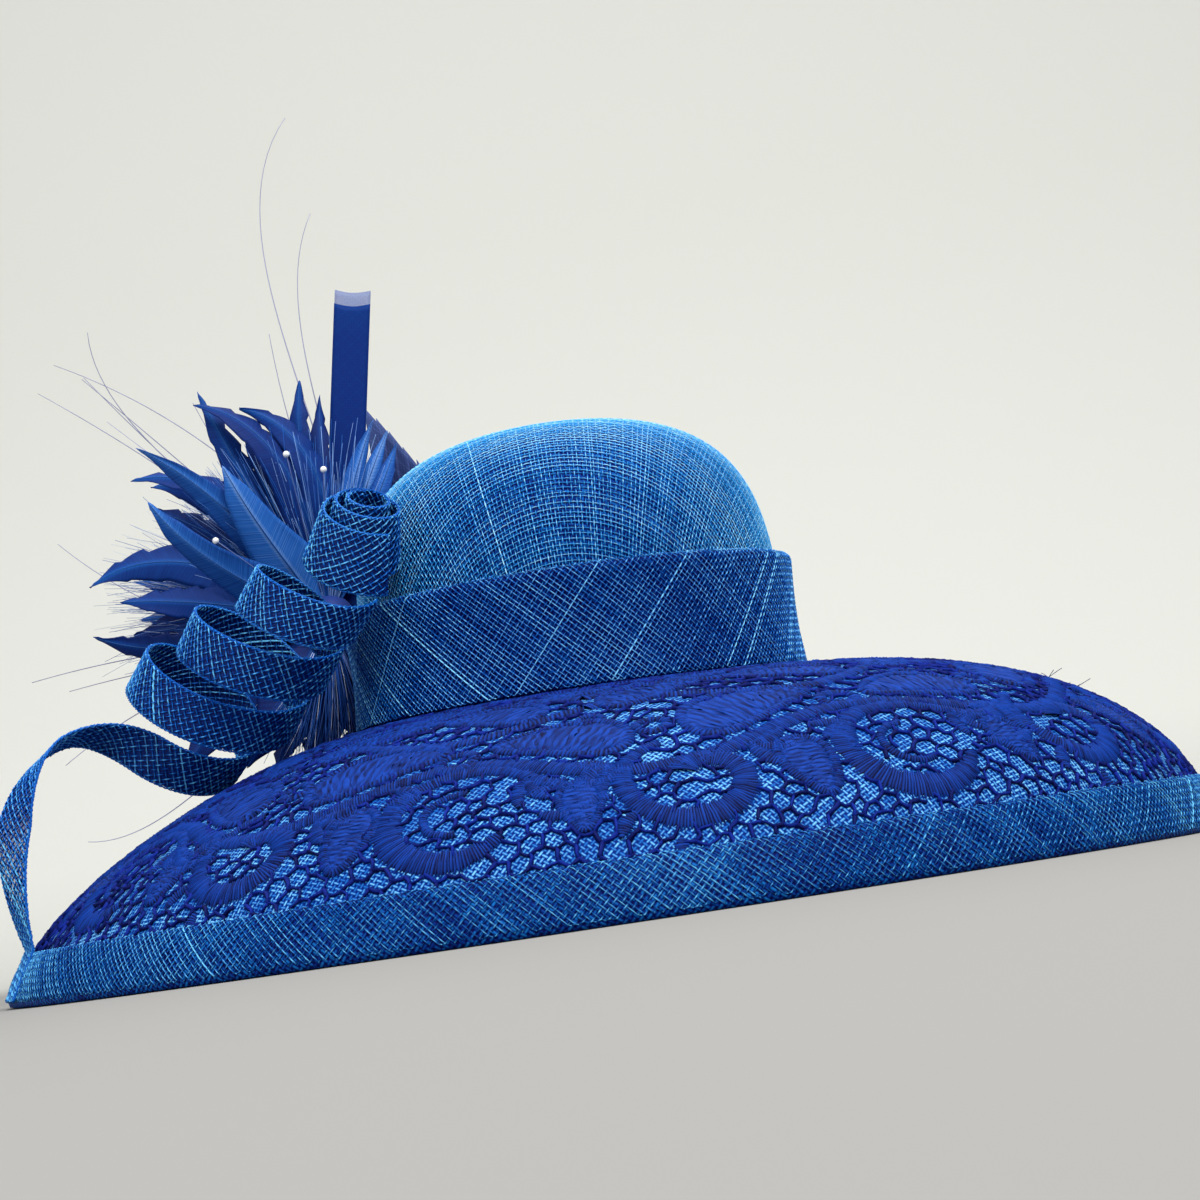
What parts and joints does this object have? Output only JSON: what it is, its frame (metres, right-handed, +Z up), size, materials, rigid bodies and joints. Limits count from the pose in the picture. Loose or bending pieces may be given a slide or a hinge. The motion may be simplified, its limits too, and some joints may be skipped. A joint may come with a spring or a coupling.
{
  "type": "wide-brim dress hat",
  "caption": "Wide-brim dress hat: blocked crown, down-turned lace-covered brim with bound rim, folded band, and a side trimming of curled ribbon, feathers and quills.",
  "frame": {"origin": "middle of the crown's base plan, on the surface that the rim rests on", "axes": "-Y is the hat's front, -X the wearer's right with the trimming, +Z up"},
  "size_m": [0.5015, 0.491, 0.3708],
  "materials": {
    "crown_sinamay": "open-weave abaca cloth, cobalt blue",
    "brim_sinamay": "open-weave abaca cloth, bright cobalt blue",
    "lace": "matt corded lace, deep blue",
    "binding_sinamay": "bias-cut abaca cloth, blue",
    "band_sinamay": "bias-cut abaca cloth, blue",
    "ribbon_sinamay": "open-weave abaca ribbon, blue",
    "feather": "trimmed and dyed feather, blue",
    "quill": "stripped feather quill, grey lilac",
    "pearl": "glossy white pearl bead on a thin wire",
    "sheer_ribbon": "sheer stiffened ribbon, navy"
  },
  "bodies": {
    "root": {"crown": "crown_sinamay", "brim": "brim_sinamay", "brim_lace": "lace", "rim_binding": "binding_sinamay", "crown_band": "band_sinamay", "ribbon_rose": "ribbon_sinamay", "curled_ribbon": "ribbon_sinamay", "feather_flower": "feather", "quill_spray": "quill", "pearl_stamen_1": "pearl", "pearl_stamen_2": "pearl", "pearl_stamen_3": "pearl", "upright_ribbon_front": "sheer_ribbon", "upright_ribbon_back": "sheer_ribbon", "pleated_ribbon": "sheer_ribbon"}
  },
  "joints": []
}
